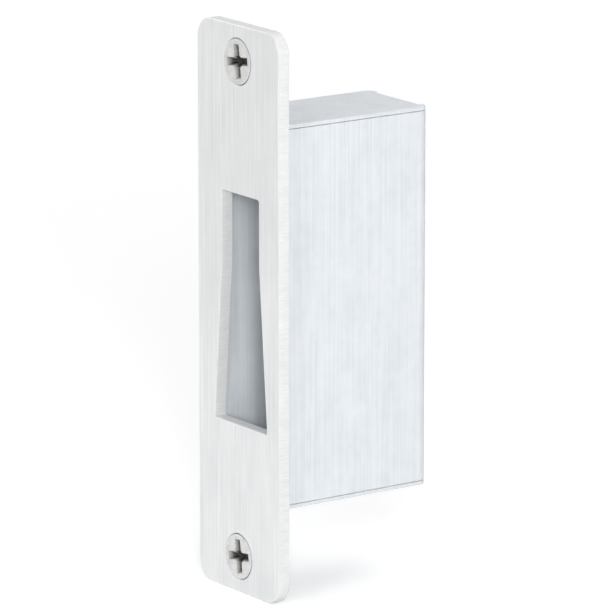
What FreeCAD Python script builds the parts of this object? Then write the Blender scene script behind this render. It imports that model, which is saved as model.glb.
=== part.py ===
import FreeCAD, Part
import os
import Sketcher

# Door strike plate with its dust box and its two fixing screws, in millimetres.
# The plate stands upright: its front face looks along -Y, its back lies on the plane y = 0
# and the box stands out behind it along +Y. The origin is halfway between the two screws.

# name, value, what it is
sizeRows = [
    ("plate_height", 117.5, "face plate, along Z"),
    ("plate_width", 28.5, "face plate, along X"),
    ("plate_thickness", 2.8, "face plate, along Y"),
    ("plate_corner_radius", 4.4, "face plate, its four corners"),
    ("plate_edge_round", 0.3, "rolled edge that the punch leaves round the front face"),
    ("opening_offset", 0.8, "opening and box, to the right of the screws' line"),
    ("opening_top", 24.2, "upper end of the opening, above the origin"),
    ("opening_knee", 10.3, "where the opening starts to widen, above the origin"),
    ("opening_bottom", 23.6, "lower end of the opening, below the origin"),
    ("opening_narrow_width", 13.2, "opening, above the knee"),
    ("opening_wide_width", 18.7, "opening, at its lower end"),
    ("opening_corner_radius", 0.5, "opening, its four corners"),
    ("screw_to_end", 7.45, "from each screw to the plate's nearer end"),
    ("screw_length", 9.5, "whole countersunk screw"),
    ("shank_diameter", 4.8, "over the thread"),
    ("thread_depth", 0.3, "from the top of the thread to the neck under the head"),
    ("neck_length", 0.3, "bevel between the head's cone and the thread"),
    ("tip_chamfer", 0.5, "end of the screw"),
    ("head_diameter", 9.4, "countersunk head"),
    ("head_angle", 90, "countersunk head and its seat, in degrees"),
    ("head_land", 0.12, "short straight rim round the head"),
    ("seat_clearance", 0.06, "between the head and its seat, across the screw"),
    ("hole_clearance", 0.2, "between the thread and the plate's hole"),
    ("recess_span", 7.2, "cross recess, from wing tip to wing tip at the head's top"),
    ("recess_wing_width", 1.8, "cross recess, across one wing at the head's top"),
    ("recess_floor_width", 0.3, "cross recess, across one wing at its floor"),
    ("recess_wing_depth", 1.2, "cross recess, its wings' floor below the head's top"),
    ("recess_centre_diameter", 3.1, "cross recess, its pointed centre at the head's top"),
    ("recess_centre_depth", 2.9, "cross recess, its centre below the head's top"),
    ("recess_turn", 7, "cross recess, turned from upright, in degrees"),
    ("screw_to_cap", 11.7, "from each screw to the outside of the dust box's nearer cap"),
    ("box_depth", 36.8, "dust box behind the plate, along Y"),
    ("sheet_thickness", 0.8, "steel sheet of the dust box"),
    ("side_room", 0.1, "from the opening's wide end to each side wall's inside"),
    ("wall_bend_radius", 1.2, "inside of the bends from back to side walls"),
    ("cap_bend_radius", 0.3, "inside of the bends at the caps and the ears"),
    ("corner_relief", 0.3, "slit that frees each bend from the wall beside it"),
    ("seam_gap", 0.1, "between a cap and the side walls under it"),
    ("mouth_gap", 0.1, "between the plate and the walls' front edges"),
    ("ear_reach", 4.6, "from the screw to the tip of the ear"),
    ("ear_corner_radius", 4.0, "corners of the ear's tip"),
    ("ear_hole_clearance", 1.3, "between the thread and the ear's wide hole"),
]

# Two places closer than this are the same, in millimetres.
nearly = 1e-4

doc = FreeCAD.newDocument("StrikePlate")

sizes = doc.addObject("Spreadsheet::Sheet", "sizes")
for row, (alias, value, meaning) in enumerate(sizeRows, start=1):
    sizes.set("A%d" % row, meaning)
    sizes.set("B%d" % row, str(value))
    sizes.setAlias("B%d" % row, alias)
doc.recompute()


def number(expression):
    return float(sizes.evalExpression(expression))


def place(x, y, z):
    return FreeCAD.Vector(number(x), number(y), number(z))


def newBody(name):
    body = doc.addObject("PartDesign::Body", name)
    body.Label = name
    return body


def originFeature(body, role):
    for feature in body.Origin.OriginFeatures:
        if feature.Role == role:
            return feature


def newSketch(body, name, plane, offset="0"):
    # A sketch on one of the body's own planes, moved along that plane's normal.
    sketch = body.newObject("Sketcher::SketchObject", name)
    sketch.AttachmentSupport = [(originFeature(body, plane), "")]
    sketch.MapMode = "FlatFace"
    sketch.setExpression("AttachmentOffset.Base.z", offset)
    return sketch


def pinPoint(sketch, geometry, end, across, up):
    # Ties one point to the sketch's origin by two sizes, each an expression.
    for kind, expression in (("DistanceX", across), ("DistanceY", up)):
        tie = Sketcher.Constraint(kind, -1, 1, geometry, end, number(expression))
        index = sketch.addConstraint(tie)
        sketch.setExpression("Constraints[%d]" % index, expression)


def drawOutline(sketch, corners):
    # A closed outline of straight sides through corners that are given as expressions.
    points = [place(across, up, "0") for across, up in corners]
    first = sketch.GeometryCount
    count = len(points)
    for i in range(count):
        sketch.addGeometry(Part.LineSegment(points[i], points[(i + 1) % count]))
    for i in range(count):
        joint = Sketcher.Constraint("Coincident", first + i, 2, first + (i + 1) % count, 1)
        sketch.addConstraint(joint)
    for i, (across, up) in enumerate(corners):
        pinPoint(sketch, first + i, 1, across, up)


def drawRectangle(sketch, halfAcross, halfUp):
    # A rectangle round the sketch's origin.
    left = "-" + halfAcross
    down = "-" + halfUp
    drawOutline(sketch, [(left, down), (halfAcross, down), (halfAcross, halfUp), (left, halfUp)])


def drawCircle(sketch, across, up, radius):
    centre = place(across, up, "0")
    circle = Part.Circle(centre, FreeCAD.Vector(0, 0, 1), number(radius))
    geometry = sketch.addGeometry(circle)
    pinPoint(sketch, geometry, 3, across, up)
    index = sketch.addConstraint(Sketcher.Constraint("Radius", geometry, number(radius)))
    sketch.setExpression("Constraints[%d]" % index, radius)


def addPad(body, name, sketch, length, symmetric=False):
    pad = body.newObject("PartDesign::Pad", name)
    pad.Profile = sketch
    pad.SideType = "Symmetric" if symmetric else "One side"
    pad.setExpression("Length", length)
    doc.recompute()
    return pad


def cutThrough(body, name, sketch):
    # A cut right through, to both sides of the sketch.
    pocket = body.newObject("PartDesign::Pocket", name)
    pocket.Profile = sketch
    pocket.SideType = "Symmetric"
    pocket.Type = "ThroughAll"
    doc.recompute()
    if not pocket.Shape.Volume < pocket.BaseFeature.Shape.Volume:
        raise RuntimeError(name + " cuts nothing")
    return pocket


def edgesAlong(feature, direction, spots):
    # Names of the straight edges along a direction that pass through any of the spots.
    names = []
    for index, edge in enumerate(feature.Shape.Edges, start=1):
        if not isinstance(edge.Curve, Part.Line):
            continue
        start = edge.Curve.Location
        if edge.Curve.Direction.cross(direction).Length > nearly:
            continue
        if min(spot.distanceToLine(start, direction) for spot in spots) < nearly:
            names.append("Edge%d" % index)
    return names


def roundEdges(body, name, feature, edges, radius):
    fillet = body.newObject("PartDesign::Fillet", name)
    fillet.Base = (feature, edges)
    fillet.setExpression("Radius", radius)
    doc.recompute()
    return fillet


def frontEdges(feature):
    # Names of the edges round the front face and its opening. The screws' seats are whole
    # circles, and stay sharp.
    names = []
    for index, edge in enumerate(feature.Shape.Edges, start=1):
        box = edge.BoundBox
        onFront = abs(box.Center.y + sizes.plate_thickness) < nearly and box.YLength < nearly
        if onFront and not edge.isClosed():
            names.append("Edge%d" % index)
    return names


# The screws' height above and below the origin, and how far a head's cone and its seat widen
# for each millimetre along the screw.
screwHeight = "(sizes.plate_height / 2 - sizes.screw_to_end)"
headSlope = "tan(sizes.head_angle / 2 * 1 deg)"


def strikePlate():
    body = newBody("strike_plate")
    alongY = FreeCAD.Vector(0, 1, 0)

    blank = newSketch(body, "plate_outline", "XZ_Plane")
    side = "sizes.plate_width / 2"
    end = "sizes.plate_height / 2"
    drawRectangle(blank, side, end)
    plate = addPad(body, "plate", blank, "sizes.plate_thickness")
    corners = [place(x, "0", z) for x in (side, "-" + side) for z in (end, "-" + end)]
    edges = edgesAlong(plate, alongY, corners)
    roundEdges(body, "plate_corners", plate, edges, "sizes.plate_corner_radius")

    # The bolt's opening: straight sides above the knee, spreading sides below it.
    mouth = newSketch(body, "opening_outline", "XZ_Plane")
    centre = "sizes.opening_offset"
    narrowHalf = "sizes.opening_narrow_width / 2"
    wideHalf = "sizes.opening_wide_width / 2"
    lowerEnds = [
        ("%s - %s" % (centre, wideHalf), "-sizes.opening_bottom"),
        ("%s + %s" % (centre, wideHalf), "-sizes.opening_bottom"),
    ]
    upperEnds = [
        ("%s + %s" % (centre, narrowHalf), "sizes.opening_top"),
        ("%s - %s" % (centre, narrowHalf), "sizes.opening_top"),
    ]
    rightKnee = ("%s + %s" % (centre, narrowHalf), "sizes.opening_knee")
    leftKnee = ("%s - %s" % (centre, narrowHalf), "sizes.opening_knee")
    drawOutline(mouth, lowerEnds + [rightKnee] + upperEnds + [leftKnee])
    opening = cutThrough(body, "opening", mouth)
    corners = [place(x, "0", z) for x, z in lowerEnds + upperEnds]
    edges = edgesAlong(opening, alongY, corners)
    roundEdges(body, "opening_corners", opening, edges, "sizes.opening_corner_radius")

    # Countersunk holes from the front face.
    centres = newSketch(body, "screw_centres", "XZ_Plane", "sizes.plate_thickness")
    radius = "sizes.shank_diameter / 2 + sizes.hole_clearance"
    drawCircle(centres, "0", screwHeight, radius)
    drawCircle(centres, "0", "-" + screwHeight, radius)
    doc.recompute()
    hole = body.newObject("PartDesign::Hole", "screw_holes")
    hole.Profile = centres
    hole.ThreadType = "None"
    hole.DepthType = "ThroughAll"
    hole.DrillPoint = "Flat"
    hole.HoleCutType = "Countersink"
    hole.HoleCutCustomValues = True
    hole.setExpression("Diameter", "sizes.shank_diameter + 2 * sizes.hole_clearance")
    # The head's cone starts below its land, so the seat is that much wider at the front face.
    seatRoom = "(sizes.head_land * %s + sizes.seat_clearance)" % headSlope
    hole.setExpression("HoleCutDiameter", "sizes.head_diameter + 2 * " + seatRoom)
    hole.setExpression("HoleCutCountersinkAngle", "sizes.head_angle")
    doc.recompute()

    roundEdges(body, "front_edges", hole, frontEdges(hole), "sizes.plate_edge_round")
    return body


# The dust box is folded from one blank, shaped like a cross. Half widths are measured from the
# box's own middle, heights from the origin.
innerHalf = "(sizes.opening_wide_width / 2 + sizes.side_room)"
outerHalf = "(%s + sizes.sheet_thickness)" % innerHalf
wallBendOutside = "(sizes.wall_bend_radius + sizes.sheet_thickness)"
capBendOutside = "(sizes.cap_bend_radius + sizes.sheet_thickness)"
stripHalf = "(%s - %s - 2 * sizes.corner_relief)" % (outerHalf, wallBendOutside)
slitHalf = "(%s + sizes.corner_relief)" % stripHalf
capTop = "(%s - sizes.screw_to_cap)" % screwHeight
capUnderside = "(%s - sizes.sheet_thickness)" % capTop
earTip = "(%s + sizes.ear_reach)" % screwHeight
backOutside = "sizes.box_depth"
backInside = "(sizes.box_depth - sizes.sheet_thickness)"


def foldedStrip(body):
    # The strip runs from the lower ear over the lower cap, the back and the upper cap to the
    # upper ear. Seen from the side: the first number of each corner is Y, the second is Z.
    insideBends = [("sizes.sheet_thickness", capTop), (backInside, capUnderside)]
    outsideBends = [("0", capUnderside), (backOutside, capTop)]
    facingPlate = [("0", earTip), outsideBends[0], insideBends[1]]
    facingAway = [outsideBends[1], insideBends[0], ("sizes.sheet_thickness", earTip)]
    lowerFacingPlate = [(y, "-" + z) for y, z in reversed(facingPlate)]
    lowerFacingAway = [(y, "-" + z) for y, z in reversed(facingAway)]

    profile = newSketch(body, "strip_outline", "YZ_Plane")
    drawOutline(profile, facingPlate + lowerFacingPlate + lowerFacingAway + facingAway)
    strip = addPad(body, "strip", profile, "2 * " + stripHalf, symmetric=True)
    alongX = FreeCAD.Vector(1, 0, 0)
    inner = [place("0", y, sign + z) for y, z in insideBends for sign in ("", "-")]
    outer = [place("0", y, sign + z) for y, z in outsideBends for sign in ("", "-")]
    edges = edgesAlong(strip, alongX, inner)
    strip = roundEdges(body, "strip_bends_inside", strip, edges, "sizes.cap_bend_radius")
    edges = edgesAlong(strip, alongX, outer)
    roundEdges(body, "strip_bends_outside", strip, edges, capBendOutside)


def bentChannel(body):
    # Back and side walls, seen from above, up to the undersides of the two caps.
    profile = newSketch(body, "channel_outline", "XY_Plane")
    rightSide = [
        (innerHalf, backInside),
        (innerHalf, "sizes.mouth_gap"),
        (outerHalf, "sizes.mouth_gap"),
        (outerHalf, backOutside),
    ]
    leftSide = [("-" + x, y) for x, y in reversed(rightSide)]
    drawOutline(profile, rightSide + leftSide)
    wallHeight = "2 * (%s - sizes.seam_gap)" % capUnderside
    channel = addPad(body, "channel", profile, wallHeight, symmetric=True)
    alongZ = FreeCAD.Vector(0, 0, 1)
    inner = [place("-" + innerHalf, backInside, "0"), place(innerHalf, backInside, "0")]
    outer = [place("-" + outerHalf, backOutside, "0"), place(outerHalf, backOutside, "0")]
    edges = edgesAlong(channel, alongZ, inner)
    channel = roundEdges(body, "wall_bends_inside", channel, edges, "sizes.wall_bend_radius")
    edges = edgesAlong(channel, alongZ, outer)
    roundEdges(body, "wall_bends_outside", channel, edges, wallBendOutside)


def boxCaps(body):
    # Each cap reaches over both side walls. Slits beside the strip's bends keep it free there.
    profile = newSketch(body, "cap_outline", "XY_Plane", capUnderside)
    rightSide = [
        (slitHalf, capBendOutside),
        (slitHalf, "sizes.mouth_gap"),
        (outerHalf, "sizes.mouth_gap"),
        (outerHalf, backOutside),
        (slitHalf, backOutside),
        (slitHalf, "(%s - %s)" % (backOutside, capBendOutside)),
    ]
    leftSide = [("-" + x, y) for x, y in reversed(rightSide)]
    drawOutline(profile, rightSide + leftSide)
    upperCap = addPad(body, "cap", profile, "sizes.sheet_thickness")
    caps = body.newObject("PartDesign::Mirrored", "both_caps")
    caps.Originals = [upperCap]
    caps.MirrorPlane = (originFeature(body, "XY_Plane"), [""])
    body.Tip = caps
    doc.recompute()
    corners = [place("-" + outerHalf, backOutside, "0"), place(outerHalf, backOutside, "0")]
    edges = edgesAlong(caps, FreeCAD.Vector(0, 0, 1), corners)
    roundEdges(body, "cap_corners", caps, edges, wallBendOutside)


def dustBox():
    body = newBody("dust_box")
    body.setExpression("Placement.Base.x", "sizes.opening_offset")
    foldedStrip(body)
    bentChannel(body)
    boxCaps(body)

    # Each ear lies on the plate's back and has a wide hole round the plate's screw.
    screws = newSketch(body, "ear_holes_outline", "XZ_Plane")
    wideRadius = "sizes.shank_diameter / 2 + sizes.ear_hole_clearance"
    drawCircle(screws, "-sizes.opening_offset", screwHeight, wideRadius)
    drawCircle(screws, "-sizes.opening_offset", "-" + screwHeight, wideRadius)
    holes = cutThrough(body, "ear_holes", screws)
    sides = (stripHalf, "-" + stripHalf)
    tips = [place(x, "0", z) for x in sides for z in (earTip, "-" + earTip)]
    edges = edgesAlong(holes, FreeCAD.Vector(0, 1, 0), tips)
    roundEdges(body, "ear_corners", holes, edges, "sizes.ear_corner_radius")
    return body


def countersunkScrew(name, height):
    # Drawn upright with the head's flat top on the plane z = 0, then laid along Y.
    body = newBody(name)
    headRadius = "sizes.head_diameter / 2"
    shankRadius = "sizes.shank_diameter / 2"
    neckRadius = "(%s - sizes.thread_depth)" % shankRadius
    coneHeight = "(%s - %s) / %s" % (headRadius, neckRadius, headSlope)
    coneEnd = "(sizes.head_land + %s)" % coneHeight

    profile = newSketch(body, name + "_profile", "XZ_Plane")
    drawOutline(
        profile,
        [
            ("0", "0"),
            (headRadius, "0"),
            (headRadius, "-sizes.head_land"),
            (neckRadius, "-" + coneEnd),
            (shankRadius, "-(%s + sizes.neck_length)" % coneEnd),
            (shankRadius, "-(sizes.screw_length - sizes.tip_chamfer)"),
            (shankRadius + " - sizes.tip_chamfer", "-sizes.screw_length"),
            ("0", "-sizes.screw_length"),
        ],
    )
    turned = body.newObject("PartDesign::Revolution", name + "_blank")
    turned.Profile = profile
    turned.ReferenceAxis = (profile, ["V_Axis"])
    doc.recompute()

    # One pair of wings narrows towards its floor, its ends as steep as the head's cone, and the
    # same again lies across it.
    rim = newSketch(body, name + "_wing_rim", "XY_Plane")
    drawRectangle(rim, "sizes.recess_span / 2", "sizes.recess_wing_width / 2")
    floor = newSketch(body, name + "_wing_floor", "XY_Plane", "-sizes.recess_wing_depth")
    floorHalf = "(sizes.recess_span / 2 - sizes.recess_wing_depth * %s)" % headSlope
    drawRectangle(floor, floorHalf, "sizes.recess_floor_width / 2")
    wings = body.newObject("PartDesign::SubtractiveLoft", name + "_wings")
    wings.Profile = rim
    wings.Sections = [floor]
    wings.Ruled = True
    doc.recompute()
    cross = body.newObject("PartDesign::PolarPattern", name + "_cross")
    cross.Originals = [wings]
    cross.Axis = (originFeature(body, "Z_Axis"), [""])
    cross.Angle = 90
    cross.Occurrences = 2
    body.Tip = cross
    doc.recompute()

    # The pointed centre that the driver's tip enters.
    centre = newSketch(body, name + "_centre", "XZ_Plane")
    drawOutline(
        centre,
        [("0", "0"), ("0", "-sizes.recess_centre_depth"), ("sizes.recess_centre_diameter / 2", "0")],
    )
    point = body.newObject("PartDesign::Groove", name + "_point")
    point.Profile = centre
    point.ReferenceAxis = (centre, ["V_Axis"])
    doc.recompute()

    # The recess is turned about the screw first, then the head is laid towards -Y.
    lay = FreeCAD.Rotation(FreeCAD.Vector(1, 0, 0), 90)
    turn = FreeCAD.Rotation(FreeCAD.Vector(0, 0, 1), sizes.recess_turn)
    body.Placement = FreeCAD.Placement(FreeCAD.Vector(0, 0, 0), lay * turn)
    body.setExpression("Placement.Base.y", "-sizes.plate_thickness")
    body.setExpression("Placement.Base.z", height)
    doc.recompute()
    return body


subParts = [
    strikePlate(),
    dustBox(),
    countersunkScrew("screw_upper", screwHeight),
    countersunkScrew("screw_lower", "-" + screwHeight),
]

for item in doc.Objects:
    if "Invalid" in item.State or "Error" in item.State:
        raise RuntimeError(item.Name + " did not compute")

os.makedirs("parts", exist_ok=True)
for body in subParts:
    if body.Shape.isNull() or not body.Shape.isValid() or len(body.Shape.Solids) != 1:
        raise RuntimeError(body.Label + " is not one sound solid")
    body.Shape.exportStep("parts/%s.step" % body.Label)
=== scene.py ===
import math

import bmesh
import bpy
import numpy as np
from mathutils import Matrix, Vector
from mathutils.geometry import delaunay_2d_cdt


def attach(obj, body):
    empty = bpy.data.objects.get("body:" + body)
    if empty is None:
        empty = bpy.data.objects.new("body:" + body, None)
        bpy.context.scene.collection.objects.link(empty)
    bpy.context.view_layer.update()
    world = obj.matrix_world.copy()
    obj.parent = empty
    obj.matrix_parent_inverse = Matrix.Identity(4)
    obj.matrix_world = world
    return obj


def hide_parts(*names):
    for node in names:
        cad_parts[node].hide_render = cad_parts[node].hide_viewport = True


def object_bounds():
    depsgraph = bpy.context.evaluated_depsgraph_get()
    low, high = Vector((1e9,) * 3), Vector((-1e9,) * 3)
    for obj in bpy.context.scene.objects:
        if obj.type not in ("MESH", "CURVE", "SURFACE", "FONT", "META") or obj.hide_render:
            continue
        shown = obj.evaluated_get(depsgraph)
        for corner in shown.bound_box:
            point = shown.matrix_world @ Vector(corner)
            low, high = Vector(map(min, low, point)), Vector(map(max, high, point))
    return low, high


# Door strike plate with its folded dust box and two countersunk screws.
# Shapes are worked out in millimetres and become metres when they are put into a mesh.
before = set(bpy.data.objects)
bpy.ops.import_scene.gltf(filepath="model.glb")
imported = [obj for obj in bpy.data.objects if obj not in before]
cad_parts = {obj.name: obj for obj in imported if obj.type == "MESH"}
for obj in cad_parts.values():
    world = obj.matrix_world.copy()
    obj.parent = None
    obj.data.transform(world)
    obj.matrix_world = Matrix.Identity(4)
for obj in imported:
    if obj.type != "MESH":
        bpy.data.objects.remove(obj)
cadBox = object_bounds()
print("frame loaded:", ", ".join(sorted(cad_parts)))

roundMiddle = 0.3        # how far a quarter round's middle lies in from both its sides, in radii


def closedPath(corners, cutsAcross=(), cutsUp=()):
    # A closed outline with its metal on the left. A corner is (across, up, radius), with a
    # negative radius where the metal goes round the outside of it. An arc takes its place:
    # point = corner - radius * mitre + radius * normal, while the normal turns from one side's
    # to the next one's. Straight sides also get a point wherever they cross one of the cuts.
    # Returns the points and, for each, the way out of the metal.
    spots = np.array([corner[:2] for corner in corners], float)
    sides = np.roll(spots, -1, axis=0) - spots
    sides /= np.linalg.norm(sides, axis=1)[:, None]
    normals = np.stack([sides[:, 1], -sides[:, 0]], 1)
    arcs, outwards = [], []
    for spot, (_, _, radius), before, after in zip(spots, corners, np.roll(normals, 1, axis=0), normals):
        mitre = (before + after) / (1 + before @ after)
        if radius == 0:
            arcs.append(spot[None])
            outwards.append(mitre[None])
            continue
        turn = math.atan2(before[0] * after[1] - before[1] * after[0], before @ after)
        steps = 1 + int(6 * math.sqrt(abs(radius)))          # more on a larger arc
        angles = math.atan2(before[1], before[0]) + turn * np.linspace(0, 1, steps + 1)
        normal = np.stack([np.cos(angles), np.sin(angles)], 1)
        arcs.append(spot - radius * mitre + radius * normal)
        outwards.append(normal)
    points, directions = [], []
    for i, side in enumerate(normals):
        start, end = arcs[i][-1], arcs[(i + 1) % len(arcs)][0]
        shares = [(cut - start[axis]) / (end[axis] - start[axis])
                  for axis, cuts in enumerate((cutsAcross, cutsUp)) if abs(end[axis] - start[axis]) > 1e-6
                  for cut in cuts]
        shares = np.array(sorted(share for share in shares if 1e-4 < share < 1 - 1e-4)).reshape(-1, 1)
        points += [arcs[i], start + shares * (end - start)]
        directions += [outwards[i], np.repeat(side[None], len(shares), axis=0)]
    return np.concatenate(points), np.concatenate(directions)


def circlePath(across, up, radius, count):
    # A round hole: the points go clockwise, so the metal is on their left, and out of the metal is
    # towards the hole's middle.
    angles = -2 * math.pi * np.arange(count) / count
    ring = np.stack([np.cos(angles), np.sin(angles)], 1)
    return np.array([across, up]) + radius * ring, -ring


def sheetSurface(outlines, profiles, creases=()):
    # A sheet of metal with softened edges. Each outline carries its profile, whose stations are
    # (way out of the metal, depth below the upper skin): place = outline + out * direction. The two
    # skins fill the outlines at the first and the last station, split along the creases.
    # Returns the vertices as (across, up, depth), and the faces.
    vertices, faces, firstRing, lastRing, flat, edges = [], [], [], [], [], []
    for (points, directions), profile in zip(outlines, profiles):
        profile = np.array(profile, float)
        count, start = len(points), sum(len(part) for part in vertices)
        rings = points[None] + profile[:, None, :1] * directions[None]
        depths = np.broadcast_to(profile[:, None, 1:], (len(profile), count, 1))
        vertices.append(np.concatenate([rings, depths], 2).reshape(-1, 3))
        index = start + np.arange(len(profile) * count).reshape(len(profile), count)
        ahead = np.roll(index, -1, axis=1)
        faces += np.stack([index[:-1], index[1:], ahead[1:], ahead[:-1]], 2).reshape(-1, 4).tolist()
        turn = len(flat) + np.arange(count)
        edges += np.stack([turn, np.roll(turn, -1)], 1).tolist()
        flat += rings[0].tolist()
        firstRing += index[0].tolist()
        lastRing += index[-1].tolist()
    for crease in creases:
        edges.append([len(flat), len(flat) + 1])
        flat += [list(end) for end in crease]
    filled = delaunay_2d_cdt([Vector(spot) for spot in flat], edges, [], 1, 1e-4)
    triangles = np.array([min(group) for group in filled[3]])[np.array(filled[2])]
    # A triangle is metal if a line from its middle crosses the outlines an odd number of times.
    flat = np.array(flat)
    middle = flat[triangles].mean(1)[:, None]
    start, end = flat[np.array(edges[:len(firstRing)])].transpose(1, 0, 2)
    crosses = (start[:, 1] > middle[..., 1]) != (end[:, 1] > middle[..., 1])
    rise = np.where(start[:, 1] == end[:, 1], 1, end[:, 1] - start[:, 1])
    spot = start[:, 0] + (middle[..., 1] - start[:, 1]) * (end[:, 0] - start[:, 0]) / rise
    triangles = triangles[(crosses & (spot > middle[..., 0])).sum(1) % 2 == 1]
    faces += np.array(firstRing)[triangles].tolist() + np.array(lastRing)[triangles[:, ::-1]].tolist()
    return np.concatenate(vertices), faces


def ringSurface(rings):
    # A closed turned shape: rings of the same count of points, one after another, joined by quads,
    # with a flat face at each end.
    rows, count = rings.shape[:2]
    index = np.arange(rows * count).reshape(rows, count)
    ahead = np.roll(index, -1, axis=1)
    faces = np.stack([index[:-1], index[1:], ahead[1:], ahead[:-1]], 2).reshape(-1, 4).tolist()
    return rings.reshape(-1, 3), faces + [index[0].tolist(), index[-1].tolist()]


def makePiece(name, vertices, faces, material, nodes, marks=None, wallMaterial=None):
    # vertices in millimetres; marks are two numbers for each vertex and become the UV map. A wall
    # is a face that looks sideways, so not along Y.
    sharpAngle = 35          # degrees between two faces, past which the edge between them is sharp
    wallLimit = 0.3          # a face whose normal has less than this along Y is a wall
    mesh = bpy.data.meshes.new(name)
    mesh.from_pydata((vertices * 0.001).tolist(), [], faces)
    if marks is not None:
        corner = np.zeros(len(mesh.loops), np.int32)
        mesh.loops.foreach_get("vertex_index", corner)
        mesh.uv_layers.new(name="marks").data.foreach_set("uv", marks[corner].ravel())
    shape = bmesh.new()
    shape.from_mesh(mesh)
    bmesh.ops.recalc_face_normals(shape, faces=shape.faces)
    shape.to_mesh(mesh)
    shape.free()
    mesh.shade_smooth()
    mesh.set_sharp_from_angle(angle=math.radians(sharpAngle))
    mesh.materials.append(material)
    if wallMaterial:
        mesh.materials.append(wallMaterial)
        normals = np.zeros(len(mesh.polygons) * 3, np.float32)
        mesh.polygons.foreach_get("normal", normals)
        mesh.polygons.foreach_set("material_index", (np.abs(normals[1::3]) < wallLimit).astype(np.int32))
    piece = bpy.data.objects.new(name, mesh)
    bpy.context.scene.collection.objects.link(piece)
    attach(piece, "root")
    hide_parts(*nodes)
    print("made", name, "with", len(mesh.polygons), "faces")


def linearColour(hexColour):
    # sRGB hex to the linear values that the sockets take.
    channels = np.array([int(hexColour[i:i + 2], 16) for i in (1, 3, 5)]) / 255
    low, high = channels / 12.92, ((channels + 0.055) / 1.055) ** 2.4
    return (*np.where(channels <= 0.04045, low, high).tolist(), 1.0)


def addNode(tree, kind, settings=None, inputs=None):
    # Adds a node, sets its own settings, and fills its sockets with values or links.
    node = tree.nodes.new("ShaderNode" + kind)
    for name, value in (settings or {}).items():
        setattr(node, name, value)
    for name, value in (inputs or {}).items():
        if isinstance(value, bpy.types.NodeSocket):
            tree.links.new(value, node.inputs[name])
        else:
            node.inputs[name].default_value = value
    return node


def newMaterial(name):
    material = bpy.data.materials.new(name)
    material.use_nodes = True
    material.node_tree.nodes.clear()
    return material, material.node_tree


def grainOf(tree, where, size, detail=4.0):
    # Noise whose grains are as long as the three sizes, in millimetres along X, Y and Z.
    stretched = addNode(tree, "Mapping", inputs={
        "Vector": where, "Scale": [1000 / length for length in size]})
    grain = addNode(tree, "TexNoise", {"noise_dimensions": "3D"}, {
        "Vector": stretched.outputs[0], "Scale": 1.0, "Detail": detail, "Roughness": 0.6})
    return grain.outputs["Fac"]


def finishMetal(tree, look, pattern, relief, paintedRecessShade=None):
    # The pattern runs from dark and rough to light and smooth between the two values of its
    # spread, the relief lifts the surface, and the painted shade, from 0 to 1, darkens and roughens it.
    low, high = look["spread"]
    tone = addNode(tree, "MapRange", inputs={
        "Value": pattern, "From Min": low, "From Max": high}).outputs[0]
    colour = addNode(tree, "Mix", {"data_type": "RGBA"}, {
        "Factor": tone, "A": linearColour(look["dark"]),
        "B": linearColour(look["light"])}).outputs["Result"]
    smooth, rough = look["roughness"]
    roughness = addNode(tree, "MapRange", inputs={
        "Value": tone, "To Min": rough, "To Max": smooth}).outputs[0]
    # Painted shade: where the mask is high the colour goes towards a dark grey.
    if paintedRecessShade:
        colour = addNode(tree, "Mix", {"data_type": "RGBA"}, {
            "Factor": paintedRecessShade, "A": colour, "B": linearColour(look["paintedRecessShade"])}).outputs["Result"]
        roughness = addNode(tree, "Math", {"operation": "MULTIPLY_ADD"}, {
            0: paintedRecessShade, 1: look["paintedShadeRoughness"], 2: roughness}).outputs[0]
    bump = addNode(tree, "Bump", inputs={
        "Height": relief, "Strength": 0.5, "Distance": look["relief"] * 0.001})
    metal = addNode(tree, "BsdfPrincipled", inputs={
        "Base Color": colour, "Metallic": look["metallic"], "Roughness": roughness,
        "Normal": bump.outputs[0]})
    addNode(tree, "OutputMaterial", inputs={"Surface": metal.outputs[0]})


plateFinish = {
    "light": "#ebecec", "dark": "#d6d8d9", "metallic": 1.0, "roughness": (0.28, 0.42),
    "grain": (0.35, 0.35, 30.0),     # mm, real lines are about 0.05 wide and too fine to show
    "clouds": (7.0, 7.0, 16.0),      # mm
    "cloudShare": 0.45,              # how much the clouds count beside the grain
    "spread": (0.48, 0.98),
    "relief": 0.004,                 # mm
}


def brushedStainless():
    # Stainless steel, brushed along its length and left satin: long fine lines that catch the
    # light, with soft darker and lighter patches where it was handled.
    look = plateFinish
    material, tree = newMaterial("brushedStainlessSteel")
    where = addNode(tree, "TexCoord").outputs["Object"]
    grain = grainOf(tree, where, look["grain"], 5.0)
    both = addNode(tree, "Math", {"operation": "MULTIPLY_ADD"},
                   {0: grainOf(tree, where, look["clouds"], 3.0), 1: look["cloudShare"], 2: grain})
    finishMetal(tree, look, both.outputs[0], grain)
    return material


wallFinish = {
    "light": "#dfe0df", "dark": "#d4d5d5", "metallic": 0.22, "roughness": (0.5, 0.64),
    "streaks": (0.3, 3.0, 0.3),      # mm, long along the punch's stroke
    "clouds": (5.0, 5.0, 5.0),       # mm
    "cloudShare": 0.5,
    "spread": (0.55, 0.95),
    "relief": 0.004,                 # mm
}


def shearedSteelWall():
    # The same steel where the punch went through it: matt, with short faint streaks along the
    # stroke.
    look = wallFinish
    material, tree = newMaterial("shearedStainlessSteel")
    where = addNode(tree, "TexCoord").outputs["Object"]
    streaks = grainOf(tree, where, look["streaks"])
    both = addNode(tree, "Math", {"operation": "MULTIPLY_ADD"},
                   {0: grainOf(tree, where, look["clouds"]), 1: look["cloudShare"], 2: streaks})
    finishMetal(tree, look, both.outputs[0], streaks)
    return material


boxFinish = {
    "light": "#d8dce0", "dark": "#c6cbd0", "metallic": 0.22, "roughness": (0.4, 0.54),
    "lines": (0.5, 0.5, 40.0),       # mm, rolling lines of the sheet, real ones are about 0.02 wide
    "clouds": (5.0, 5.0, 9.0),       # mm
    "cloudShare": 0.6,
    "spangle": 2.2,                  # mm, faint patches of the zinc's crystals
    "spangleShare": 0.2,
    "spread": (0.45, 1.05),
    "relief": 0.003,                 # mm
}


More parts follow.
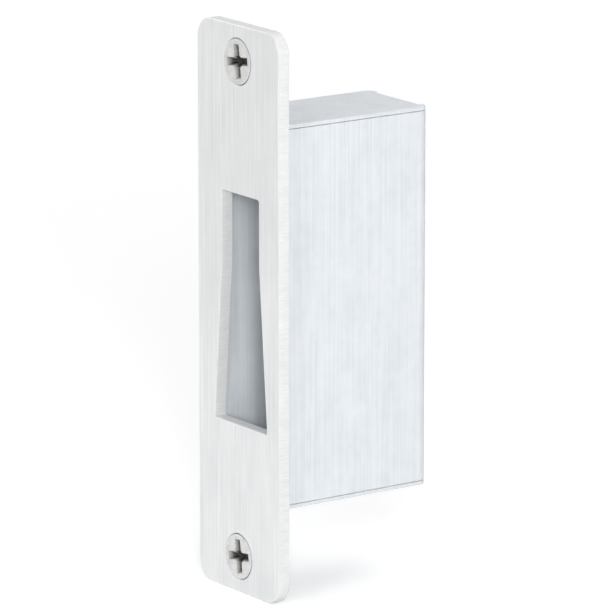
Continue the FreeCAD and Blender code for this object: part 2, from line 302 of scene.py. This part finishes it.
def zincPlatedSheet():
    # Cold rolled steel sheet, zinc plated and passivated blue: a cool pale grey, a little cloudy,
    # with faint lines from rolling.
    look = boxFinish
    material, tree = newMaterial("bluePassivatedZincSheet")
    where = addNode(tree, "TexCoord").outputs["Object"]
    lines = grainOf(tree, where, look["lines"], 3.0)
    spangle = addNode(tree, "TexVoronoi", {"feature": "SMOOTH_F1"}, {
        "Vector": where, "Scale": 1000 / look["spangle"], "Smoothness": 0.8, "Randomness": 1.0})
    patches = addNode(tree, "Math", {"operation": "MULTIPLY_ADD"},
                      {0: grainOf(tree, where, look["clouds"]), 1: look["cloudShare"], 2: lines})
    both = addNode(tree, "Math", {"operation": "MULTIPLY_ADD"},
                   {0: spangle.outputs["Distance"], 1: look["spangleShare"], 2: patches.outputs[0]})
    finishMetal(tree, look, both.outputs[0], lines)
    return material


screwFinish = {
    "light": "#dfdfdd", "dark": "#bcbdbe", "metallic": 1.0, "roughness": (0.24, 0.4),
    "paintedRecessShade": "#53514d",            # painted shade in the recess, a dark grey
    "paintedShadeDepth": 1.2,             # mm of depth at which the painted shade is full
    "paintedShadeRoughness": 0.25,        # roughness it adds to the metal's, with the painted shade
    "rings": 0.32,                   # mm between turning marks, real ones are about 0.05 apart
    "clouds": (1.6, 1.6, 1.6),       # mm
    "spread": (0.6, 1.2),
    "relief": 0.003,                 # mm
}


def turnedSteel():
    # Turned stainless screw, tumbled bright: fine rings round its axis, a smooth sheen, and painted
    # shade that darkens the recess with depth. The UV map holds, in millimetres, the depth in the recess
    # and the way from the screw's middle out and then down its side.
    look = screwFinish
    material, tree = newMaterial("turnedStainlessSteel")
    coordinates = addNode(tree, "TexCoord")
    marks = addNode(tree, "SeparateXYZ", inputs={"Vector": coordinates.outputs["UV"]})
    ringPlace = addNode(tree, "Math", {"operation": "MULTIPLY"}, {
        0: marks.outputs["Y"], 1: 1 / look["rings"]})
    rings = addNode(tree, "TexNoise", {"noise_dimensions": "1D"}, {
        "W": ringPlace.outputs[0], "Scale": 1.0, "Detail": 3.0, "Roughness": 0.6}).outputs["Fac"]
    both = addNode(tree, "Math", {"operation": "ADD"},
                   {0: grainOf(tree, coordinates.outputs["Object"], look["clouds"]), 1: rings})
    # Painted shade in the recess, growing with depth to full at the given depth.
    paintedRecessShade = addNode(tree, "MapRange", inputs={
        "Value": marks.outputs["X"], "From Max": look["paintedShadeDepth"]})
    finishMetal(tree, look, both.outputs[0], rings, paintedRecessShade.outputs[0])
    return material


plateSizes = {
    "height": 117.5, "width": 28.5, "thickness": 2.8, "cornerRadius": 4.4,
    "frontRound": 0.3, "backBreak": 0.1,     # edges, front and back
    # the opening, from the plate's middle: it is narrow from its top down to the knee
    "openingMiddle": 0.8, "openingTop": 24.2, "openingKnee": 10.3, "openingBottom": -23.6,
    "narrowHalf": 6.6, "wideHalf": 9.35, "openingCorner": 0.5, "kneeRadius": 3.0,
    "screwHeight": 51.3, "seatRadius": 4.88, "holeRadius": 2.6, "holePoints": 72,
    # how far out of the countersink the flat face starts, and the breaks at its rim and its foot
    "seatHold": 0.3, "seatBreak": 0.04, "seatFoot": 0.03,
}


def makeFacePlate(material, wallMaterial):
    size = plateSizes
    halfWidth, halfHeight, corner = size["width"] / 2, size["height"] / 2, size["cornerRadius"]
    outline = closedPath([(-halfWidth, -halfHeight, corner), (halfWidth, -halfHeight, corner),
                          (halfWidth, halfHeight, corner), (-halfWidth, halfHeight, corner)])
    middle, narrow, wide = size["openingMiddle"], size["narrowHalf"], size["wideHalf"]
    top, knee, bottom = size["openingTop"], size["openingKnee"], size["openingBottom"]
    inner = -size["openingCorner"]
    # The opening turns the other way at its knees, which are outer corners of the metal, so their
    # radius is positive.
    opening = closedPath([(middle - wide, bottom, inner), (middle - narrow, knee, size["kneeRadius"]),
                          (middle - narrow, top, inner), (middle + narrow, top, inner),
                          (middle + narrow, knee, size["kneeRadius"]), (middle + wide, bottom, inner)])
    holes = [circlePath(0, sign * size["screwHeight"], size["seatRadius"], size["holePoints"])
             for sign in (1, -1)]

    thick, front, back = size["thickness"], size["frontRound"], size["backBreak"]
    arc = np.radians(np.linspace(0, 90, 6))
    rolled = np.stack([front * (np.sin(arc) - 1), front * (1 - np.cos(arc))], 1).tolist()
    # Both profiles start and end on the flat skins, a little way in from the edge.
    edge = [(-2 * front, 0), *rolled, (0, thick / 2), (0, thick - back), (-back, thick),
            (-4 * back, thick)]
    cone = size["seatRadius"] - size["holeRadius"]      # the seat slopes at 45 degrees
    rim, foot = size["seatBreak"], size["seatFoot"]
    seat = [(-size["seatHold"], 0), (-rim, 0), (0, rim), (cone - foot, cone - foot),
            (cone, cone + foot), (cone, thick - back), (cone - back, thick), (cone - 4 * back, thick)]
    vertices, faces = sheetSurface([outline, opening, *holes], [edge, edge, seat, seat])
    placed = np.stack([vertices[:, 0], vertices[:, 2] - thick, vertices[:, 1]], 1)
    makePiece("facePlate", placed, faces, material, ["strike_plate"], wallMaterial=wallMaterial)


boxSizes = {
    "middle": plateSizes["openingMiddle"], "screwHeight": plateSizes["screwHeight"],
    "depth": 36.8, "outerHalf": 10.25, "capHeight": 39.6,    # outside
    "sheet": 0.8, "wallBend": 2.0, "capBend": 1.1,           # thickness and outer radii
    "wallEnd": 38.7,         # where the side walls end, under the caps
    "mouthGap": 0.1,         # from the walls and the caps to the plate's back
    # the slits that free the bends: their inner and outer side, and their end on the back
    "stripHalf": 7.65, "slitHalf": 7.95, "notchEnd": 38.4,
    "earTip": 55.9, "earCorner": 4.0, "earHole": 3.7, "holePoints": 48,
    # the sheet's edges on the outer and on the inner skin, and where the flat skins start
    "edgeRound": 0.12, "innerBreak": 0.08, "edgeHold": 0.25,
    # lengths given to the bends on the flat blank, and the rows of points across each
    "wallBendLength": 2.5, "capBendLength": 1.6,
    "wallBendSteps": 10, "capBendSteps": 6,
    "flatRow": 0.3,          # the next row of points lies this far past a bend, on the flat
}


def followFold(along, depth, start, legs):
    # Goes along a bent strip in one plane. The strip heads along the second axis first, and its
    # inner side looks down the first one. Each leg is (length on the blank, radius of the outer
    # skin, turn in degrees): place = place + radius * (sin * heading + (1 - cos) * inward), and
    # heading and inward turn by the same angle. A point lies depth inward of the outer skin.
    place = np.tile(np.array(start, float), (len(along), 1))
    heading, inward = np.array([[0.0, 1.0]]), np.array([[-1.0, 0.0]])
    reached = 0.0
    for length, radius, turn in legs:
        share = np.clip((along - reached) / length, 0, 1)[:, None]
        if turn == 0:
            place = place + share * length * heading
        else:
            angle = math.radians(turn) * share
            place = place + radius * (np.sin(angle) * heading + (1 - np.cos(angle)) * inward)
            heading, inward = (np.cos(angle) * heading + np.sin(angle) * inward,
                               np.cos(angle) * inward - np.sin(angle) * heading)
        reached += length
    return place + depth[:, None] * inward


def makeDustBox(material):
    # One blank shaped like a cross: back in the middle, walls to its sides, caps and then ears
    # above and below it. The blank is drawn flat, filled, and then folded.
    size = boxSizes
    hold, thick, depth = size["edgeHold"], size["sheet"], size["depth"]
    strip, slit, outer = size["stripHalf"], size["slitHalf"], size["outerHalf"]
    wallFlat, capFlat = outer - size["wallBend"], size["capHeight"] - size["capBend"]
    wallTip = wallFlat + size["wallBendLength"] + depth - size["wallBend"] - size["mouthGap"]
    backSlit = capFlat + size["capBendLength"]                   # where the cap is flat again
    frontSlit = backSlit + depth - 2 * size["capBend"]
    capBack, capFront = backSlit - size["capBend"], frontSlit + size["capBend"] - size["mouthGap"]
    earStart = frontSlit + size["capBendLength"]
    earFoot = size["capHeight"] - thick + size["capBend"]        # height where the ear is flat
    earEnd = earStart + size["earTip"] - earFoot
    earHole = earStart + size["screwHeight"] - earFoot

    upperRight = [
        (wallTip, size["wallEnd"], 0), (slit, size["wallEnd"], 0), (slit, size["notchEnd"], 0),
        (strip, size["notchEnd"], 0), (strip, backSlit, 0), (slit, backSlit, 0), (slit, capBack, 0),
        (outer, capBack, size["wallBend"]), (outer, capFront, 0), (slit, capFront, 0),
        (slit, frontSlit, 0), (strip, frontSlit, 0), (strip, earEnd, size["earCorner"]),
    ]
    upperLeft = [(-x, y, r) for x, y, r in reversed(upperRight)]
    lowerHalf = [(-x, -y, r) for x, y, r in upperRight + upperLeft]
    wallCuts = wallFlat + size["wallBendLength"] * np.linspace(0, 1, size["wallBendSteps"] + 1)
    wallCuts = np.append(wallCuts, wallCuts[-1] + size["flatRow"])
    bend = size["capBendLength"] * np.linspace(0, 1, size["capBendSteps"] + 1)
    capCuts = np.concatenate([capFlat + bend[:-1], frontSlit + bend[1:], [earStart + size["flatRow"]]])
    outline = closedPath(upperRight + upperLeft + lowerHalf,
                         [*wallCuts, *-wallCuts], [*capCuts, *-capCuts])
    holes = [circlePath(-size["middle"], sign * earHole, size["earHole"], size["holePoints"])
             for sign in (1, -1)]

    wallLines = [[(sign * x, -size["wallEnd"] + hold), (sign * x, size["wallEnd"] - hold)]
                 for x in [slit + hold, *wallCuts] for sign in (1, -1)]
    holdLines = [size["notchEnd"] - hold, backSlit + hold, frontSlit - hold]
    capLines = [[(hold - strip, sign * y), (strip - hold, sign * y)]
                for y in [*capCuts, *holdLines] for sign in (1, -1)]
    edgeRound, innerBreak = size["edgeRound"], size["innerBreak"]
    eased = roundMiddle * edgeRound
    edge = [(-hold, 0), (-edgeRound, 0), (-eased, eased), (0, edgeRound),
            (0, thick - innerBreak), (-innerBreak, thick), (-hold, thick)]
    vertices, faces = sheetSurface([outline, *holes], [edge] * 3, wallLines + capLines)

    across, up, down = vertices.T
    side, end = np.sign(across), np.sign(up)
    stripPlace = followFold(np.abs(up), down, (depth, 0), [
        (capFlat, 0, 0), (size["capBendLength"], size["capBend"], 90), (frontSlit - backSlit, 0, 0),
        (size["capBendLength"], thick - size["capBend"], -90), (earEnd - earStart, 0, 0)])
    wallPlace = followFold(np.abs(across), down, (depth, 0), [
        (wallFlat, 0, 0), (size["wallBendLength"], size["wallBend"], 90), (wallTip - wallFlat, 0, 0)])
    inStrip = np.abs(across) < (strip + slit) / 2
    inWall = ~inStrip & (np.abs(up) < (size["wallEnd"] + capBack) / 2)
    placed = np.stack([
        np.where(inWall, side * wallPlace[:, 1], across) + size["middle"],
        np.select([inStrip, inWall], [stripPlace[:, 0], wallPlace[:, 0]], depth + capBack - np.abs(up)),
        np.select([inStrip, inWall], [end * stripPlace[:, 1], up], end * (size["capHeight"] - down)),
    ], 1)
    makePiece("foldedDustBox", placed, faces, material, ["dust_box"])


screwSizes = {
    "height": plateSizes["screwHeight"], "headTop": -plateSizes["thickness"],
    "headRadius": 4.7, "rimRound": 0.06, "neckRadius": 2.1, "length": 9.5,
    "land": 0.12,            # the head's straight side, over its cone
    "coneMiddle": 3.4, "tipMiddle": 0.6,     # radii of one more ring on the cone and on the tip
    "ringStep": 0.1,         # from a bend to the next ring of points
    "crest": 2.4, "root": 1.95, "pitch": 0.8, "tipChamfer": 0.5,
    "flanks": 0.52,          # what the ridge's two flanks take along the axis
    "rootShare": 0.34,       # how far the flat at the root reaches, as a share of that
    "threadFade": 0.6,       # the ridge grows over this length from the neck
    "threadRings": 120,
    "recessHalf": 3.6, "wingHalf": 0.9, "floorHalf": 0.15, "wingDepth": 1.2,
    "wingRings": (0.8, 0.4),         # depths between the wings' floor and their mouth
    "centreRadius": 1.55, "centreDepth": 2.9, "recessBreak": 0.05,
    "recessTurn": 7,         # degrees
    "paintedShadeStep": 0.36,     # how much deeper the recess's walls count for the painted shade
}


def crossSection(halfLength, halfWidth, radius):
    # A cross with a round middle, level with one depth of the recess. One arm: along the circle to
    # the arm's side, out to its tip, over the tip, back, and on along the circle. The other three
    # are the same arm turned by quarters.
    mouth = math.asin(min(1.0, halfWidth / radius))
    reach = math.sqrt(max(radius ** 2 - halfWidth ** 2, 0))
    lead = np.linspace(-math.pi / 4, -mouth, 5)[:-1]
    sideX = np.linspace(reach, halfLength, 6)
    tip = np.linspace(-halfWidth, halfWidth, 7)[1:-1]
    x = np.concatenate([radius * np.cos(lead), sideX, np.full(len(tip), halfLength), sideX[::-1],
                        radius * np.cos(lead[:0:-1])])
    y = np.concatenate([radius * np.sin(lead), np.full(len(sideX), -halfWidth), tip,
                        np.full(len(sideX), halfWidth), -radius * np.sin(lead[:0:-1])])
    turns = np.arange(4) * math.pi / 2
    cos, sin = np.cos(turns)[:, None], np.sin(turns)[:, None]
    return np.stack([x * cos - y * sin, x * sin + y * cos], 2).reshape(-1, 2)


def makeScrew(name, node, height, material):
    # Rings from the recess's point up its walls, over the head, down its cone and along the thread.
    # Each ring is (two places across, depth below the head's top).
    size = screwSizes
    wingSlope = (size["wingHalf"] - size["floorHalf"]) / size["wingDepth"]
    centreSlope = size["centreRadius"] / size["centreDepth"]

    def wings(depth, wider=0.0):
        # The recess's outline at a depth. The wings' ends slope at 45 degrees.
        return crossSection(size["recessHalf"] - depth + wider,
                            size["wingHalf"] - wingSlope * depth + wider,
                            size["centreRadius"] - centreSlope * depth + wider)

    mouth = wings(0, size["recessBreak"])
    angles = np.arctan2(mouth[:, 1], mouth[:, 0])
    circle = np.stack([np.cos(angles), np.sin(angles)], 1)
    floor = wings(size["wingDepth"])
    floorAngles = np.arctan2(floor[:, 1], floor[:, 0])
    floorRadius = size["centreRadius"] - centreSlope * size["wingDepth"]
    floorCircle = np.stack([np.cos(floorAngles), np.sin(floorAngles)], 1)
    pointHeight = size["centreDepth"] - size["wingDepth"]
    rings = [(floorCircle * share * floorRadius, size["centreDepth"] - share * pointHeight)
             for share in (0.05, 0.5, 1.0)]
    rings += [(floor, size["wingDepth"])]
    rings += [(wings(depth), depth) for depth in (*size["wingRings"], size["recessBreak"])]
    rings += [(mouth, 0)]
    recessRings = len(rings)
    rim, land, head = size["rimRound"], size["land"], size["headRadius"]
    eased = roundMiddle * rim
    rings += [(circle * radius, depth) for radius, depth in (
        (head - 3 * rim, 0), (head - rim, 0), (head - eased, eased), (head, rim), (head, land))]
    neckDepth = land + head - size["neckRadius"]        # the cone slopes at 45 degrees
    rings += [(circle * radius, land + head - radius)
              for radius in (head - size["ringStep"], size["coneMiddle"], size["neckRadius"])]

    # Thread: a ridge with 60 degree flanks whose place turns with the depth, right-handed, and
    # which fades in at the neck and stays inside the chamfer at the tip.
    depths = np.linspace(neckDepth + size["ringStep"], size["length"], size["threadRings"])[:, None]
    phase = (depths / size["pitch"] + angles[None] / (2 * math.pi)) % 1
    fromRoot = (0.5 - np.abs(phase - 0.5)) * 2 * size["pitch"]
    ridge = np.clip(fromRoot / size["flanks"] - size["rootShare"], 0, 1)
    fade = np.clip((depths - neckDepth) / size["threadFade"], 0, 1)
    limit = size["crest"] - np.clip(depths - size["length"] + size["tipChamfer"], 0, None)
    radius = np.minimum(size["root"] + (size["crest"] - size["root"]) * ridge * fade, limit)
    rings += [(circle * row[:, None], depth) for row, depth in zip(radius, depths[:, 0])]
    rings += [(circle * size["tipMiddle"], size["length"])]

    turn = math.radians(size["recessTurn"])
    flat = np.stack([ring for ring, _ in rings]) @ np.array([[math.cos(turn), math.sin(turn)],
                                                             [-math.sin(turn), math.cos(turn)]])
    depth = np.broadcast_to(np.array([float(d) for _, d in rings])[:, None], flat.shape[:2])
    placed = np.stack([flat[..., 0], size["headTop"] + depth, height + flat[..., 1]], 2)
    vertices, faces = ringSurface(placed)
    # Marks for the finish: depth in the recess, for the painted shade, which starts with a step so
    # that its rim stands out dark, and the way out and then down the side.
    inRecess = (np.arange(len(rings)) < recessRings)[:, None]
    marks = np.stack([np.where(inRecess & (depth > 0), depth + size["paintedShadeStep"], 0),
                      np.linalg.norm(flat, axis=2) + np.where(inRecess, 0, depth)], 2)
    makePiece(name, vertices, faces, material, [node], marks.reshape(-1, 2))


cameraView = {
    "azimuth": 54.936, "elevation": 13.3615,   # degrees
    "distance": 1144.06, "focal": 5663.5,      # mm, and pixels for an image of 615
    "right": 11.768, "up": 0.468,              # mm, how far the line of sight passes from the origin
    "image": 615,                              # pixels
    "sensor": 36,                              # mm
    "clip": (0.05, 50),                        # metres
}


def makeCamera():
    view = cameraView
    a, e = math.radians(view["azimuth"]), math.radians(view["elevation"])
    back = Vector((math.sin(a) * math.cos(e), -math.cos(a) * math.cos(e), math.sin(e)))
    right = Vector((math.cos(a), math.sin(a), 0))
    up = back.cross(right)
    lens = bpy.data.cameras.new("camera")
    lens.sensor_width = view["sensor"]
    lens.lens = view["focal"] * view["sensor"] / view["image"]
    lens.clip_start, lens.clip_end = view["clip"]
    camera = bpy.data.objects.new("camera", lens)
    camera.matrix_world = Matrix((right, up, back)).transposed().to_4x4()
    camera.location = (back * view["distance"] + right * view["right"] + up * view["up"]) * 0.001
    bpy.context.scene.collection.objects.link(camera)
    bpy.context.scene.camera = camera


stageLight = {
    "worldLight": 0.2,       # for everything but the camera and reflections
    "white": "#ffffff",
    "floorTint": "#f4f4f4",
    "floorGlow": 0.28,       # so that only the shadow shows on the floor
    "floorHalf": 3.0,        # metres
    "floorDrop": 0.0001,     # metres under the object, so that the two don't share a plane
    "plainFrom": 0.16,       # metres from the origin, where the floor starts to turn plain white
    "plainAt": 0.45,
    # name: place in metres, width and height in metres, watts, and whether it shows in reflections,
    # where all but faint ones would make the bright metal clip to white. The key is narrow and
    # near the line of sight, to reach the wall that shows in the opening. The fill casts the
    # plate's soft shade on the box. The edge lamp draws a light line along the plate's rolled top.
    "lamps": {
        "keyStripbox": ((1.2, -0.71, 0.36), 0.3, 0.5, 13.5, False),
        "fillSoftbox": ((0.55, -1.18, 0.45), 0.4, 0.7, 5.0, False),
        "glintStripbox": ((1.22, -0.68, 0.6), 0.45, 1.3, 2.0, True),
        "edgeStripbox": ((-1.1, -0.32, 0.77), 0.5, 0.4, 0.7, True),
        "frontSoftbox": ((-0.55, -1.0, 0.75), 1.4, 1.4, 4.5, False),
        "topSoftbox": ((0.1, 0.4, 1.2), 1.5, 1.5, 8.0, False),
    },
}


def seenDirectly(tree):
    # 1 for rays from the camera, from reflections and through glass, 0 for the light on the object.
    path = addNode(tree, "LightPath")
    first = addNode(tree, "Math", {"operation": "MAXIMUM"},
                    {0: path.outputs["Is Camera Ray"], 1: path.outputs["Is Glossy Ray"]})
    seen = addNode(tree, "Math", {"operation": "MAXIMUM"},
                   {0: first.outputs[0], 1: path.outputs["Is Transmission Ray"]})
    return seen.outputs[0]


def makeStage():
    light = stageLight
    white = linearColour(light["white"])
    world = bpy.data.worlds.new("studio")
    world.use_nodes = True
    tree = world.node_tree
    tree.nodes.clear()
    strength = addNode(tree, "MapRange", inputs={
        "Value": seenDirectly(tree), "To Min": light["worldLight"], "To Max": 1.0})
    sky = addNode(tree, "Background", inputs={"Color": white, "Strength": strength.outputs[0]})
    addNode(tree, "OutputWorld", inputs={"Surface": sky.outputs[0]})
    bpy.context.scene.world = world

    # The floor is plain and pale, turns plain white far from the object, and can't be seen from
    # underneath.
    material, tree = newMaterial("paleStudioFloor")
    matt = addNode(tree, "BsdfDiffuse", inputs={"Color": linearColour(light["floorTint"])})
    seen = seenDirectly(tree)
    glowStrength = addNode(tree, "Math", {"operation": "MULTIPLY"}, {0: seen, 1: light["floorGlow"]})
    glow = addNode(tree, "Emission", inputs={"Color": white, "Strength": glowStrength.outputs[0]})
    near = addNode(tree, "AddShader", inputs={0: matt.outputs[0], 1: glow.outputs[0]})
    where = addNode(tree, "TexCoord").outputs["Object"]
    reach = addNode(tree, "VectorMath", {"operation": "LENGTH"}, {0: where})
    far = addNode(tree, "MapRange", {"interpolation_type": "SMOOTHSTEP"}, {
        "Value": reach.outputs["Value"], "From Min": light["plainFrom"], "From Max": light["plainAt"]})
    seenFar = addNode(tree, "Math", {"operation": "MULTIPLY"}, {0: far.outputs[0], 1: seen})
    plain = addNode(tree, "Emission", inputs={"Color": white, "Strength": 1.0})
    above = addNode(tree, "MixShader", inputs={
        0: seenFar.outputs[0], 1: near.outputs[0], 2: plain.outputs[0]})
    clear = addNode(tree, "BsdfTransparent")
    both = addNode(tree, "MixShader", inputs={
        0: addNode(tree, "NewGeometry").outputs["Backfacing"], 1: above.outputs[0], 2: clear.outputs[0]})
    addNode(tree, "OutputMaterial", inputs={"Surface": both.outputs[0]})

    height, half = cadBox[0].z - light["floorDrop"], light["floorHalf"]
    corners = [(-half, -half, height), (half, -half, height), (half, half, height), (-half, half, height)]
    mesh = bpy.data.meshes.new("floor")
    mesh.from_pydata(corners, [], [(0, 1, 2, 3)])
    mesh.materials.append(material)
    floor = bpy.data.objects.new("floor", mesh)
    bpy.context.scene.collection.objects.link(floor)

    for name, (place, width, tall, watts, shines) in light["lamps"].items():
        lamp = bpy.data.lights.new(name, "AREA")
        lamp.shape = "RECTANGLE"
        lamp.size, lamp.size_y, lamp.energy = width, tall, watts
        softbox = bpy.data.objects.new(name, lamp)
        softbox.location = place
        softbox.visible_glossy = shines
        softbox.rotation_mode = "QUATERNION"
        softbox.rotation_quaternion = (-Vector(place)).to_track_quat("-Z", "Y")
        bpy.context.scene.collection.objects.link(softbox)
    bpy.context.scene.view_settings.view_transform = "Standard"


makeCamera()
makeStage()
print("stage made")
makeFacePlate(brushedStainless(), shearedSteelWall())
makeDustBox(zincPlatedSheet())
screwMetal = turnedSteel()
for name, node, side in (("screwUpper", "screw_upper", 1), ("screwLower", "screw_lower", -1)):
    makeScrew(name, node, side * screwSizes["height"], screwMetal)
